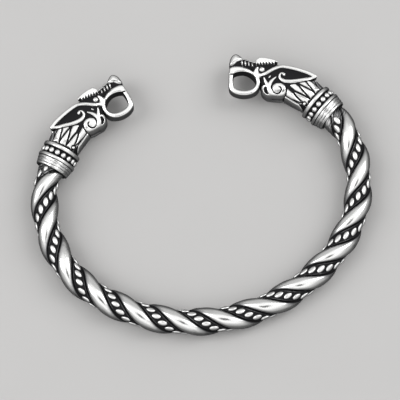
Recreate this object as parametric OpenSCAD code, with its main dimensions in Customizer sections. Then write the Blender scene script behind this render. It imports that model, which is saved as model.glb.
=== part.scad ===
/* [Ring] */
// Radius of the flat arc across the back of the ring
back_radius = 39.2; // [37:0.1:41]
// Angle that the back arc turns through on each side of the middle
back_turn = 43; // [41:1:45]
// Radius of the arc down each side
side_radius = 25.2; // [24:0.1:27]
// Angle that each side arc turns through
side_turn = 63; // [61:1:65]
// Radius of the short arc that leads into each collar
end_radius = 12; // [11:0.1:14]
// Angle that each end arc turns through
end_turn = 22; // [20:1:24]

/* [Twist] */
// Length along the ring for one full turn of the strands
lead = 19; // [17:0.1:22]
// Angle from the outer edge to the first smooth strand at the back of the ring
twist_start = 70; // [0:1:359]
// Radius at the crown of a smooth strand
smooth_crown = 3.06; // [2.9:0.01:3.2]
// Radius at the crown of a bead on a beaded strand
bead_crown = 2.66; // [2.5:0.01:2.8]
// Radius of a beaded strand between two beads
bead_root = 2.34; // [2.25:0.01:2.45]
// Distance along the ring from one bead of a strand to the next
bead_pitch = 1.54; // [1.45:0.01:1.65]

/* [Collars] */
// Outer radius of the two rims
rim_radius = 4.3; // [4.2:0.05:4.6]
// Radius at the bottom of the groove that holds the beads
groove_radius = 3.55; // [3.4:0.05:3.7]
// Number of beads round a collar
collar_beads = 16; // [14:1:18]
// Radius of one collar bead
collar_bead_radius = 0.6; // [0.5:0.01:0.62]
// How far the strands reach into a collar
socket_depth = 1.6; // [1.2:0.1:2]

/* [Heads] */
// Height of the raised ornament over the head
relief = 0.42; // [0.3:0.01:0.5]
// Number of scales in each of the two rows round the neck
scales = 12; // [10:1:12]
// Half width of the jaws across the mouth
jaw_half = 1.8; // [1.6:0.1:2.2]
// How far the left head is bent outwards, and the right one inwards, in degrees
head_turn = 1.6; // [0:0.1:2]

/* [Hidden] */

// Clearances: half the angle between two strands, the play of an end in its socket, and the play
// between a head and its collar
strand_gap = 1.1;
end_gap = 0.1;
face_gap = 0.2;

// Lengths of the arcs of the path
function arc_length(radius, angle) = radius * angle * PI / 180;
back_length = arc_length(back_radius, back_turn);
side_length = arc_length(side_radius, side_turn);
end_length = arc_length(end_radius, end_turn);
body_half = back_length + side_length + end_length;

// Collar stations along its own axis, from the face towards the head
rim_width = 1;
groove_width = 1.6;
second_rim_width = 0.85;
reed_width = 0.65;
reeds = 3;
collar_length = rim_width + groove_width + second_rim_width + reeds * reed_width;

// The path starts at the back of the ring; a place is [x, y, heading]
function arc_from(p, radius, angle) = [
    p[0] + radius * (sin(p[2] + angle) - sin(p[2])),
    p[1] - radius * (cos(p[2] + angle) - cos(p[2])),
    p[2] + angle
];
function line_from(p, length) = [p[0] + length * cos(p[2]), p[1] + length * sin(p[2]), p[2]];
back_end = arc_from([0, 0, 0], back_radius, back_turn);
side_end = arc_from(back_end, side_radius, side_turn);
body_end = arc_from(side_end, end_radius, end_turn);
neck_place = line_from(body_end, collar_length);

function angle_of(length, radius) = length / radius * 180 / PI;
function right_half(s) =
    s <= back_length ? arc_from([0, 0, 0], back_radius, angle_of(s, back_radius)) :
    s <= back_length + side_length ?
        arc_from(back_end, side_radius, angle_of(s - back_length, side_radius)) :
    s <= body_half ?
        arc_from(side_end, end_radius, angle_of(s - back_length - side_length, end_radius)) :
    line_from(body_end, s - body_half);
function place(s) = s >= 0 ? right_half(s) : let (p = right_half(-s)) [-p[0], p[1], -p[2]];

// A closed skin over rings of points that all have the same count. The first faces of a ring, as many
// as turned says, are split along their other diagonal.
module skin(rings, turned) {
    count = len(rings[0]);
    last = len(rings) - 1;
    points = [for (ring = rings) each ring];
    sides = [
        for (i = [0:last - 1], j = [0:count - 1])
        let (k = (j + 1) % count, a = i * count, b = a + count)
        each j < turned ?
            [[a + j, b + j, b + k], [a + j, b + k, a + k]] :
            [[a + j, b + j, a + k], [b + j, b + k, a + k]]
    ];
    first_cap = [for (j = [0:count - 1]) j];
    last_cap = [for (j = [count - 1:-1:0]) last * count + j];
    polyhedron(points, concat([first_cap], sides, [last_cap]));
}

// A section of a strand as [angle from its crown line, radius], round the ring's own axis
core = [0, 0.5];
groove_bottom = 2.15;
smooth_half = 50 - strand_gap;
beaded_half = 40 - strand_gap;
smooth_section = [
    core, [-smooth_half, groove_bottom], [-27, 2.88], [0, smooth_crown], [27, 2.88],
    [smooth_half, groove_bottom]
];
function beaded_section(top) = [
    core, [-beaded_half, groove_bottom], [-12, top], [12, top], [beaded_half, groove_bottom]
];

// Two rings to each bead, one on its crown and one between it and the next
ring_step = bead_pitch / 2;
strand_half = body_half + socket_depth - end_gap;
steps = floor(strand_half / ring_step);

function strand_point(p, polar, turn) =
    let (a = polar[0] + turn, out = polar[1] * cos(a))
    [p[0] + out * sin(p[2]), p[1] - out * cos(p[2]), polar[1] * sin(a)];

// The one turned face is a strand's flank, so that the flanks of two neighbours run alike
module strand(start_angle, beaded) {
    skin(turned = 1, rings = [
        for (i = [steps:-1:-steps])
        let (
            s = i * ring_step,
            top = i % 2 == 0 ? bead_crown : bead_root,
            section = beaded ? beaded_section(top) : smooth_section
        )
        [for (polar = section) strand_point(place(s), polar, start_angle - 360 * s / lead)]
    ]);
}

// Height of the outer nose over the middle of the collar's face
nose_top = 14.3;

// The ring lies on its two collars and on the back of the twist, so its plane leans a little
contact_y = neck_place[1] - (rim_width + groove_width + second_rim_width) * sin(neck_place[2]);
lean = atan((rim_radius - smooth_crown) / contact_y);
lift = rim_radius * cos(lean) - contact_y * sin(lean);
centre_y = -(neck_place[1] + nose_top - smooth_crown) / 2;

module at_rest() {
    translate([0, centre_y, lift]) rotate([lean, 0, 0]) children();
}

// One collar, with its axis along Z and its face towards the head at the origin
groove_start = -rim_width - groove_width;
second_rim_start = groove_start - second_rim_width;
socket_radius = smooth_crown + end_gap;
tenon_radius = 2.2;
tenon_length = 1.2;
edge = 0.2;

module collar_profile() {
    polygon(concat(
        [
            [0, -edge],
            [0, -collar_length],
            [rim_radius - 0.5, -collar_length]
        ],
        [
            for (i = [reeds - 1:-1:0])
            let (start = second_rim_start - (i + 1) * reed_width, bulge = rim_radius - 0.08 - 0.12 * i)
            each [
                [bulge - 0.22, start + 0.04],
                [bulge, start + 0.2],
                [bulge, start + reed_width - 0.2],
                [bulge - 0.22, start + reed_width - 0.04]
            ]
        ],
        [
            [rim_radius, second_rim_start + edge],
            [rim_radius, groove_start - edge],
            [rim_radius - edge, groove_start],
            [groove_radius, groove_start],
            [groove_radius, -rim_width],
            [rim_radius - edge, -rim_width],
            [rim_radius, -rim_width + edge],
            [rim_radius, -edge],
            [rim_radius - edge, 0],
            [0, 0]
        ]
    ));
}

module collar() {
    difference() {
        union() {
            rotate_extrude($fn = 96) collar_profile();
            for (i = [0:collar_beads - 1])
                rotate([0, 0, (i + 0.5) * 360 / collar_beads])
                    translate([rim_radius - collar_bead_radius + 0.02, 0, groove_start + groove_width / 2])
                        sphere(collar_bead_radius, $fn = 32);
        }
        translate([0, 0, -collar_length - 1])
            cylinder(socket_depth + 1, socket_radius, socket_radius, $fn = 96);
        translate([0, 0, -tenon_length])
            cylinder(tenon_length + 1, tenon_radius, tenon_radius, $fn = 96);
    }
}

module right_end() {
    translate([neck_place[0], neck_place[1], 0])
        rotate([0, 0, neck_place[2]]) rotate([0, 90, 0]) children();
}

// The head is drawn in side view, with its snout along +X and its crown towards +Y.
// Its origin is the middle of the collar's face, and its two cheeks face +Z and -Z.
neck_angle = 180 - neck_place[2];
neck_radius = 3.25;
function neck_point(side) = [
    face_gap * cos(neck_angle) - side * sin(neck_angle),
    face_gap * sin(neck_angle) + side * cos(neck_angle)
];

// Sections of the skull from the neck to the eyes: top x, top y, bottom x, bottom y, half width
skull = [
    [each neck_point(neck_radius), each neck_point(-neck_radius), neck_radius],
    [-1.4, 3.6, 3.9, -0.6, 3.3],
    [0.4, 5.6, 5.1, 0.6, 3.35],
    [2.9, 7.5, 6.2, 1.6, 3.3],
    [5.3, 9.2, 7.4, 2.1, 3.2],
    [7.6, 10.9, 8.6, 2.4, 3],
    [9.6, 11.2, 10.1, 3, 2.8],
    [10.9, 10.5, 10.7, 4.6, 2.5]
];

// Sections of the snout over the mouth, in the same columns
snout = [
    [9.6, 11, 9.4, 8, 2.7],
    [11.2, 10.7, 11.2, 9, 2.5],
    [12.8, 11.9, 12.8, 9.5, 2.35],
    [14.2, 12.8, 14.2, 9.6, 2.25],
    [15.4, 12.4, 15.5, 9.6, 2],
    [16.2, 11.3, 16.6, 9.6, 1.6]
];

// Power of the rounded outline of a section: 2 is an ellipse, more is squarer
section_power = 2.4;
section_points = 12;
function rounded(v) = sign(v) * pow(abs(v), 2 / section_power);
function section(row, up, side) = let (
    middle = [row[0] + row[2], row[1] + row[3]] / 2,
    reach = [row[0] - row[2], row[1] - row[3]] / 2,
    half = reach * (1 + up / norm(reach))
) [
    for (j = [0:section_points - 1])
    let (a = 360 * j / section_points, m = middle + half * rounded(cos(a)))
    [m[0], m[1], (row[4] + side) * rounded(sin(a))]
];
module loft(rows, up = 0, side = 0) {
    skin([for (row = rows) section(row, up, side)], section_points / 2);
}

// A band of varying width along a row of points: x, y, width
function band_normal(points, i) = let (
    a = points[max(i - 1, 0)],
    b = points[min(i + 1, len(points) - 1)],
    d = [b[0] - a[0], b[1] - a[1]]
) [-d[1], d[0]] / norm(d);
function band_side(points, sense) = [
    for (i = [0:len(points) - 1])
    let (p = points[i])
    [p[0], p[1]] + band_normal(points, i) * sense * p[2] / 2
];
function reversed(list) = [for (i = [len(list) - 1:-1:0]) list[i]];
module band(points) {
    polygon(concat(band_side(points, 1), reversed(band_side(points, -1))));
}

// Bands of the cheek, each as x, y, width
ear_rim = [
    [10.5, 7.6, 1], [8.9, 7.5, 0.9], [7.4, 8.1, 0.9], [5.9, 8.4, 0.9],
    [4.4, 8, 0.9], [2.6, 7, 0.9], [-0.9, 4.95, 0.95]
];
ear_lobe = [
    [-1.5, 4.6, 0.5], [-0.6, 4.6, 0.9], [1.2, 4.2, 0.9], [3.2, 4.2, 1], [5.2, 4.7, 0.95],
    [6.4, 5.5, 0.75], [6.35, 6.5, 0.6], [5.6, 6.8, 0.5]
];
ear_ball = [5.3, 6.35, 0.42];
jaw_stem = [[9.1, 2.6, 0.6], [9.35, 3.3, 0.8], [9.3, 4.2, 0.8], [8.7, 5.3, 0.7], [7.5, 6, 0.45]];
jaw_shoot = [[9.3, 3.8, 0.6], [9.45, 5.3, 0.7], [9.65, 6.6, 0.45]];
jaw_tendril = [[9.9, 4.7, 0.5], [10.5, 4.4, 0.5], [10.5, 3.6, 0.5], [9.9, 2.8, 0.5], [7.6, 2.3, 0.7]];
eye_hook = [[10.5, 7.8, 1], [10.5, 8.6, 0.7], [10.4, 9.4, 0.3]];
eye = [9.7, 8.65, 0.5];

// Brow ridges as x, y, half spread, radius
brow = [[10.4, 10.8, 1.9, 0.4], [9.4, 11.4, 1.7, 0.6], [7.8, 10.9, 1.7, 0.55], [6.1, 9.9, 1.8, 0.35]];
module brows() {
    for (i = [0:len(brow) - 2], side = [-1, 1])
        hull()
            for (b = [brow[i], brow[i + 1]])
                translate([b[0], b[1], side * b[2]]) sphere(b[3], $fn = 6);
}

// The cheek's spiral runs inwards from the jaw to a ball in its middle
spiral_middle = [7.5, 3.4];
spiral_outer = 1.35;
spiral_inner = 0.75;
spiral_turns = 0.9;
spiral_steps = 8;
spiral_ball = 0.58;
cheek_spiral = [
    for (i = [0:spiral_steps])
    let (
        t = i / spiral_steps,
        r = spiral_outer + (spiral_inner - spiral_outer) * t,
        a = -70 - 360 * spiral_turns * t
    )
    [spiral_middle[0] + r * cos(a), spiral_middle[1] + r * sin(a), 0.75 - 0.15 * t]
];

// Wrinkles over the snout as x low, x high, y high
snout_wrinkles = [[11.3, 10.8, 10.8], [12, 11.4, 11.1], [12.7, 12.1, 11.6], [13.4, 12.9, 12.3]];
wrinkle_foot_y = 10.2;
wrinkle_radius = 0.24;
module wrinkles() {
    for (w = snout_wrinkles, side = [-1, 1])
        hull() {
            translate([w[0], wrinkle_foot_y, side * 2.3]) sphere(wrinkle_radius, $fn = 4);
            translate([w[1], w[2], side * 0.9]) sphere(wrinkle_radius, $fn = 4);
        }
}

module bands() {
    band(ear_rim);
    band(ear_lobe);
    translate([ear_ball[0], ear_ball[1]]) circle(ear_ball[2], $fn = 8);
    band(jaw_stem);
    band(jaw_shoot);
    band(jaw_tendril);
    band(cheek_spiral);
    translate(spiral_middle) circle(spiral_ball, $fn = 8);
    band(eye_hook);
}

// The bands stand up from both cheeks, and the two ears are split along the crown
ear_split = 0.9;
overhang = 1.1;
through = 12;
module ornament() {
    intersection() {
        loft(skull, overhang, relief);
        difference() {
            linear_extrude(through, center = true) bands();
            linear_extrude(2 * ear_split, center = true) translate([-5, 4]) square([15, 8]);
        }
    }
}

// The open mouth is a loop of jaw and lip, cut right through from cheek to cheek
mouth_hole = [
    [16.4, 9.1], [15.4, 9.5], [14, 9.4], [12.7, 9], [11.8, 8.2], [11.5, 7.1], [11.8, 6], [12.7, 5.3],
    [14, 5.15], [15.4, 5.25], [16.4, 5.8], [16.75, 7]
];
mouth_loop = [
    [16.9, 10.2], [15.4, 10.5], [13.8, 10.3], [12.2, 9.8], [11, 8.7], [10.65, 7.1], [11, 5.5], [12.2, 4.6],
    [14, 4.4], [15.8, 4.5], [17.1, 5.2], [17.6, 6.6], [17.5, 8.4]
];
module mouth() {
    linear_extrude(2 * jaw_half, center = true)
        difference() {
            polygon(mouth_loop);
            polygon(mouth_hole);
        }
}

module nose() {
    hull() {
        translate([14.6, 12.75, 0]) scale([1, 1, 1.3]) sphere(1.2, $fn = 8);
        translate([15, 12.4, 0]) scale([1, 1, 1.7]) sphere(0.85, $fn = 8);
        translate([13.4, 12, 0]) scale([1, 1, 1.4]) sphere(0.9, $fn = 8);
    }
}

// A scale is a leaf along +X with its point at [length, 0], raised from the neck
scale_base = 2.9;
module leaf(length, width) {
    linear_extrude(neck_radius + relief - scale_base, scale = [0.94, 0.8])
        polygon([[0, -width / 2], [length * 0.45, -width / 2], [length, 0], [length * 0.45, width / 2],
                 [0, width / 2]]);
}
module neck_scales() {
    width = 360 / scales * PI / 180 * (neck_radius + relief) - 0.3;
    for (i = [0:scales - 1])
        rotate([360 / scales * (i + 0.5), 0, 0])
            translate([0.6, 0, scale_base]) leaf(3.3, width);
    for (i = [0:scales - 1])
        rotate([360 / scales * i, 0, 0])
            translate([5.1, 0, scale_base]) mirror([1, 0, 0]) leaf(2.7, width);
}

module head() {
    loft(skull);
    loft(snout);
    ornament();
    brows();
    wrinkles();
    mouth();
    nose();
    rotate([0, 0, neck_angle]) neck_scales();
    for (side = [-1, 1])
        translate([eye[0], eye[1], side * 2.75]) sphere(eye[2], $fn = 10);
    rotate([0, 0, neck_angle]) translate([1, 0, 0]) rotate([0, -90, 0])
        cylinder(tenon_length + 1 - end_gap, tenon_radius - end_gap, tenon_radius - end_gap, $fn = 16);
}

// Places a head on the left collar, bent by the angle
module left_place(turn) {
    translate([-neck_place[0], neck_place[1], 0]) rotate([0, 0, turn]) children();
}

module smooth_strand_1() {
    color("silver") at_rest() strand(twist_start, false);
}

module smooth_strand_2() {
    color("silver") at_rest() strand(twist_start + 180, false);
}

module beaded_strand_1() {
    color("dimgray") at_rest() strand(twist_start + 90, true);
}

module beaded_strand_2() {
    color("dimgray") at_rest() strand(twist_start + 270, true);
}

// The left collar's beads stand half a bead round from those of the right one
module left_collar() {
    color("gainsboro") at_rest() mirror([1, 0, 0]) right_end() rotate([0, 0, 180 / collar_beads]) collar();
}

module right_collar() {
    color("gainsboro") at_rest() right_end() collar();
}

module left_head() {
    color("darkgray") at_rest() left_place(head_turn) head();
}

module right_head() {
    color("darkgray") at_rest() mirror([1, 0, 0]) left_place(-head_turn) head();
}

smooth_strand_1();
smooth_strand_2();
beaded_strand_1();
beaded_strand_2();
left_collar();
right_collar();
left_head();
right_head();
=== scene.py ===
"""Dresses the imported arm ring: twisted strands, bead rows, collars and beast heads in polished steel."""

import logging
import math
from dataclasses import dataclass, field, fields, replace
from enum import Enum
from typing import Sequence, Union

import bpy
import numpy as np
from mathutils import Matrix, Vector


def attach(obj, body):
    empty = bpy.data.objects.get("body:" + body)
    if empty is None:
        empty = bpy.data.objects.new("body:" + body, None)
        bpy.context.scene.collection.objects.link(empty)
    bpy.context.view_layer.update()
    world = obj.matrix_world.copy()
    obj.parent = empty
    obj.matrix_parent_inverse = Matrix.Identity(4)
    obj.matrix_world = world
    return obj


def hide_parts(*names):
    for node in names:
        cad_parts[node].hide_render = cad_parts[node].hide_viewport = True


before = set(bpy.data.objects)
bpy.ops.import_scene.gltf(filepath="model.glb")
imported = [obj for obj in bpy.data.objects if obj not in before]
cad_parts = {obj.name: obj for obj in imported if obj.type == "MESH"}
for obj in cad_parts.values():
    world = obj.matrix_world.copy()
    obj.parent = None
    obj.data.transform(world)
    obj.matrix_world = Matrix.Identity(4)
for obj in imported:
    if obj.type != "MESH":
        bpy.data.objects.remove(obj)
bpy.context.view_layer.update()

MM = 0.001
# Name of the point attribute that holds how dark the steel is: black oxide and painted shade together.
OXIDE_AND_SHADE = "oxide_and_shade"
# Strength of the painted shade that darkens the sides of the ring and of the heads.
SIDE_SHADE = 0.24
SPAN_PARTS = 4

logging.basicConfig(level=logging.INFO, format="%(message)s")
log = logging.getLogger("arm_ring")

Array = np.ndarray
Faces = Sequence[Sequence[int]]
ThreeArrays = tuple[Array, Array, Array]
Point2 = tuple[float, float]
Point3 = tuple[float, float, float]
Colour = tuple[float, float, float]


class Side(Enum):
    """The two ends of the ring."""

    LEFT = "left"
    RIGHT = "right"

    @property
    def sign(self) -> float:
        """1 for the end on the +X side and -1 for the other."""
        return 1.0 if self is Side.RIGHT else -1.0


class Strand(Enum):
    """The two kinds of strand, by the record's slot."""

    SMOOTH = "smooth_strand"
    BEADED = "beaded_strand"


# Node trees


class Wire:
    """An output socket of a node tree. Arithmetic on it adds Math nodes."""

    def __init__(self, bench: "NodeBench", socket: bpy.types.NodeSocket) -> None:
        """Keeps the tree and the socket."""
        self.bench = bench
        self.socket = socket

    def output(self, name: str) -> "Wire":
        """Another output of the same node."""
        return Wire(self.bench, self.socket.node.outputs[name])

    def __add__(self, other: "Feed") -> "Wire":
        """self + other."""
        return self.bench.math("ADD", self, other)

    def __radd__(self, other: "Feed") -> "Wire":
        """other + self."""
        return self.bench.math("ADD", other, self)

    def __sub__(self, other: "Feed") -> "Wire":
        """self - other."""
        return self.bench.math("SUBTRACT", self, other)

    def __rsub__(self, other: "Feed") -> "Wire":
        """other - self."""
        return self.bench.math("SUBTRACT", other, self)

    def __mul__(self, other: "Feed") -> "Wire":
        """self * other."""
        return self.bench.math("MULTIPLY", self, other)

    def __rmul__(self, other: "Feed") -> "Wire":
        """other * self."""
        return self.bench.math("MULTIPLY", other, self)

    def step(self, low: float, high: float) -> "Wire":
        """Rises smoothly from 0 at low to 1 at high."""
        ends = {"Value": self, "From Min": low, "From Max": high, "To Min": 0.0, "To Max": 1.0}
        return self.bench.node("ShaderNodeMapRange", {"interpolation_type": "SMOOTHSTEP"}, ends)


Feed = Union[Wire, float]


class NodeBench:
    """Builds one node tree: a material's, the world's or the bead setting's."""

    def __init__(self, tree: bpy.types.NodeTree) -> None:
        """Clears the tree."""
        self.tree = tree
        self.tree.nodes.clear()

    def node(self, kind: str, settings: dict, inputs: dict, output: Union[int, str] = 0) -> Wire:
        """Adds a node.

        Args:
            kind: The node's type.
            settings: Its properties by name.
            inputs: Its inputs by name or number: a Wire is linked, anything else is set.
            output: The output to return, by name or number.

        Returns:
            The output's Wire.
        """
        made = self.tree.nodes.new(kind)
        for name, value in settings.items():
            setattr(made, name, value)
        for name, value in inputs.items():
            if isinstance(value, Wire):
                self.tree.links.new(value.socket, made.inputs[name])
            else:
                made.inputs[name].default_value = value
        return Wire(self, made.outputs[output] if made.outputs else None)

    def math(self, operation: str, first: Feed, second: Feed = 0.0) -> Wire:
        """One Math node's output."""
        return self.node("ShaderNodeMath", {"operation": operation}, {0: first, 1: second})

    def noise(self, scale: float, detail: float, roughness: float = 0.5) -> Wire:
        """Noise from 0 to 1, read at the object's own coordinates.

        Args:
            scale: Cells to the metre.
            detail: Octaves.
            roughness: Weight of the finer octaves.

        Returns:
            The noise's value.
        """
        place = self.node("ShaderNodeTexCoord", {}, {}, "Object")
        inputs = {"Scale": scale, "Detail": detail, "Roughness": roughness, "Vector": place}
        return self.node("ShaderNodeTexNoise", {"noise_dimensions": "3D"}, inputs)

    def mix(self, factor: Feed, first: Union[Wire, Colour], second: Union[Wire, Colour]) -> Wire:
        """Mixes two colours, the first at factor 0 and the second at factor 1."""
        low, high = (c if isinstance(c, Wire) else (*c, 1.0) for c in (first, second))
        return self.node("ShaderNodeMix", {"data_type": "RGBA"}, {0: factor, 6: low, 7: high}, 2)


@dataclass(frozen=True)
class AgedSteel:
    """Polished steel: black oxide where the darkness attribute is near 1, and below that a grey that shows
    painted shade and stains.
    """

    name: str
    steel: Colour = (0.86, 0.86, 0.85)
    # The grey of the painted shade on flanks and sides, also shown where stains and wear patches gather.
    grey_shade: Colour = (0.26, 0.26, 0.265)
    oxide: Colour = (0.012, 0.012, 0.013)
    edge_tint: Colour = (0.45, 0.45, 0.46)
    steel_roughness: float = 0.16
    oxide_roughness: float = 0.42
    dull_roughness: float = 0.08
    oxide_loss: float = 0.8
    edge_level: float = 0.25
    patch_scale: float = 420.0
    speck_scale: float = 2600.0
    scratch_scale: float = 5200.0
    grey_shade_limits: Point2 = (0.04, 0.5)
    oxide_limits: Point2 = (0.38, 0.76)
    wear_limits: Point2 = (0.5, 0.85)
    stain: float = 0.3
    wear: float = 0.12
    grain: float = 0.12
    relief_strength: float = 0.25
    relief_depth: float = 0.00003

    def material(self) -> bpy.types.Material:
        """Builds the material.

        Returns:
            The material, with its colour, metal, roughness and bump from nodes.
        """
        made = bpy.data.materials.new(self.name)
        made.use_nodes = True
        bench = NodeBench(made.node_tree)
        source = {"attribute_type": "GEOMETRY", "attribute_name": OXIDE_AND_SHADE}
        oxide_and_shade = bench.node("ShaderNodeAttribute", source, {}, "Fac")
        patches = bench.noise(self.patch_scale, 4.0, 0.6)
        specks = bench.noise(self.speck_scale, 3.0, 0.6)
        scratches = bench.noise(self.scratch_scale, 2.0, 0.55)
        # The attribute carries oxide and painted shade, and the noise adds stains: middle values turn the
        # steel grey as painted shade, high values black as oxide.
        stain_and_shade = oxide_and_shade + (patches - 0.5) * self.stain + (specks - 0.5) * self.stain
        black = stain_and_shade.step(*self.oxide_limits)
        dull_and_shaded = (stain_and_shade + patches.step(*self.wear_limits) * self.wear).step(*self.grey_shade_limits)
        colour = bench.mix(black, bench.mix(dull_and_shaded, self.steel, self.grey_shade), self.oxide)
        roughness = self.steel_roughness + black * (self.oxide_roughness - self.steel_roughness)
        roughness = roughness + (specks - 0.5) * self.grain + dull_and_shaded * self.dull_roughness
        relief = {"Height": scratches * 0.5 + specks * 0.5}
        relief |= {"Strength": self.relief_strength, "Distance": self.relief_depth}
        surface = {
            "Base Color": colour,
            "Metallic": 1.0 - black * self.oxide_loss,
            "Roughness": roughness,
            "Normal": bench.node("ShaderNodeBump", {}, relief),
            "Specular IOR Level": self.edge_level,
            "Specular Tint": (*self.edge_tint, 1.0),
        }
        steel = bench.node("ShaderNodeBsdfPrincipled", {}, surface)
        bench.node("ShaderNodeOutputMaterial", {}, {"Surface": steel})
        return made


# The ring's line


@dataclass(frozen=True)
class RingPath:
    """The middle line of the ring, with the solid model's sizes in millimetres and degrees."""

    back_radius: float = 39.2
    back_turn: float = 43.0
    side_radius: float = 25.2
    side_turn: float = 63.0
    end_radius: float = 12.0
    end_turn: float = 22.0
    lead: float = 19.0
    twist_start: float = 70.0
    collar_length: float = 5.4
    rims_length: float = 3.45
    rim_radius: float = 4.3
    smooth_crown: float = 3.06
    nose_top: float = 14.3
    head_turn: float = 1.6
    socket_reach: float = 1.5

    @property
    def arcs(self) -> list[Point2]:
        """Radius and turn of each arc of one half, from the back to the collar."""
        return [
            (self.back_radius, math.radians(self.back_turn)),
            (self.side_radius, math.radians(self.side_turn)),
            (self.end_radius, math.radians(self.end_turn)),
        ]

    @property
    def body_half(self) -> float:
        """Length of the twist on one side, from the back to the collar."""
        return sum(radius * turn for radius, turn in self.arcs)

    def places(self, stations: Array) -> ThreeArrays:
        """Finds the middle line at stations along the ring.

        Args:
            stations: Lengths from the back, more than 0 on the right.

        Returns:
            x, y and heading of each station.
        """
        size = np.abs(stations)
        x, y, heading = (np.zeros_like(size) for _ in range(3))
        start, done = 0.0, 0.0
        for radius, turn in self.arcs:
            part = np.clip(size - done, 0.0, radius * turn) / radius
            x += radius * (np.sin(start + part) - math.sin(start))
            y -= radius * (np.cos(start + part) - math.cos(start))
            heading += part
            start += turn
            done += radius * turn
        spare = np.clip(size - done, 0.0, None)
        x += spare * math.cos(start)
        y += spare * math.sin(start)
        side = np.sign(stations + 1e-12)
        return x * side, y, heading * side

    def neck(self) -> Point3:
        """x, y and heading at the face of the right collar."""
        x, y, heading = self.places(np.array([self.body_half + self.collar_length]))
        return float(x[0]), float(y[0]), float(heading[0])

    def at_rest(self, points: Array) -> Array:
        """Lays points of the ring's own plane down on the floor.

        Args:
            points: Points in millimetres, the ring's plane at z 0.

        Returns:
            The points in the shared frame, in metres.
        """
        _, neck_y, heading = self.neck()
        contact = neck_y - self.rims_length * math.sin(heading)
        lean = math.atan((self.rim_radius - self.smooth_crown) / contact)
        lift = self.rim_radius * math.cos(lean) - contact * math.sin(lean)
        middle = -(neck_y + self.nose_top - self.smooth_crown) / 2
        y = points[:, 1] * math.cos(lean) - points[:, 2] * math.sin(lean) + middle
        z = points[:, 1] * math.sin(lean) + points[:, 2] * math.cos(lean) + lift
        return np.column_stack([points[:, 0], y, z]) * MM

    def head_to_ring(self, points: Array, side: Side) -> Array:
        """Places points of a head's own side view on the ring's plane.

        Args:
            points: Points of the head, snout along +X and crown towards +Y.
            side: The end that the head closes.

        Returns:
            The points in the ring's plane.
        """
        neck_x, neck_y, _ = self.neck()
        turn = math.radians(-side.sign * self.head_turn)
        x = points[:, 0] * math.cos(turn) - points[:, 1] * math.sin(turn) - neck_x
        y = points[:, 0] * math.sin(turn) + points[:, 1] * math.cos(turn) + neck_y
        return np.column_stack([-side.sign * x, y, points[:, 2]])

    def around(self, stations: Array, angle: Array, reach: Union[Array, float]) -> Array:
        """Places points round the middle line. The arrays broadcast.

        Args:
            stations: Lengths from the back, more than 0 on the right.
            angle: Angles from the ring's outer side.
            reach: Distances from the middle line.

        Returns:
            Rows of x, y and z in the ring's plane.
        """
        x, y, heading = self.places(stations)
        out = reach * np.cos(angle)
        points = [x + out * np.sin(heading), y - out * np.cos(heading), reach * np.sin(angle)]
        return np.stack(points, axis=-1).reshape(-1, 3)

    def bead_places(self, stations: Array, angle: Array, reach: float) -> ThreeArrays:
        """Places a row of beads round the middle line.

        Args:
            stations: The beads' lengths from the back.
            angle: Their angles from the ring's outer side.
            reach: Their distance from the middle line.

        Returns:
            Their middles, the way that their length runs and the way that their crown points.
        """
        _, _, heading = self.places(stations)
        tangent = np.column_stack([np.cos(heading), np.sin(heading), np.zeros_like(heading)])
        middles = self.at_rest(self.around(stations, angle, reach))
        outer = self.at_rest(self.around(stations, angle, reach + 1.0))
        return middles, self.at_rest(tangent) - self.at_rest(np.zeros((1, 3))), outer - middles


# Meshes


def skin_faces(rings: int, count: int, poles: bool = False) -> list[tuple[int, ...]]:
    """Faces of a closed skin over rings of points.

    Args:
        rings: Number of rings.
        count: Points on a ring.
        poles: Whether each end closes on a point, numbered after the rings, or else with one flat face.

    Returns:
        The faces by point number.
    """
    pairs = [(j, (j + 1) % count) for j in range(count)]
    faces: list[tuple[int, ...]] = []
    for start in range(0, (rings - 1) * count, count):
        faces += [(start + j, start + k, start + k + count, start + j + count) for j, k in pairs]
    last = (rings - 1) * count
    if poles:
        first_pole = last + count
        for j, k in pairs:
            faces += [(first_pole, k, j), (first_pole + 1, last + j, last + k)]
    else:
        faces += [tuple(range(count - 1, -1, -1)), tuple(range(last, last + count))]
    return faces


def signed_volume(points: Array, faces: Faces) -> float:
    """Volume inside a closed mesh, less than 0 if its normals point inwards.

    Args:
        points: The mesh's points.
        faces: Its faces by point number.

    Returns:
        The volume.
    """
    total = 0.0
    for size in {len(face) for face in faces}:
        same = np.array([face for face in faces if len(face) == size])
        for k in range(1, size - 1):
            a, b, c = points[same[:, 0]], points[same[:, k]], points[same[:, k + 1]]
            total += float(np.einsum("ij,ij->i", a, np.cross(b, c)).sum()) / 6
    return total


def add_object(name: str, data: bpy.types.ID) -> bpy.types.Object:
    """Adds an object to the scene.

    Args:
        name: Its name.
        data: Its mesh, lamp or camera.

    Returns:
        The object, at the origin.
    """
    made = bpy.data.objects.new(name, data)
    bpy.context.scene.collection.objects.link(made)
    return made


def make_piece(name: str, points: Array, faces: Faces, oxide_and_shade: Array) -> bpy.types.Object:
    """Makes a smooth mesh object at the origin.

    Args:
        name: The piece's name.
        points: Its points in metres, in the shared frame.
        faces: Its faces by point number.
        oxide_and_shade: How dark each point is, from 0 to 1: black oxide in the ground together with
            painted shade.

    Returns:
        The object.
    """
    if signed_volume(points, faces) < 0:
        faces = [face[::-1] for face in faces]
    mesh = bpy.data.meshes.new(name)
    mesh.from_pydata(points.tolist(), [], faces)
    mesh.attributes.new(OXIDE_AND_SHADE, "FLOAT", "POINT").data.foreach_set("value", oxide_and_shade.astype(np.float32))
    mesh.shade_smooth()
    mesh.update()
    return add_object(name, mesh)


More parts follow.
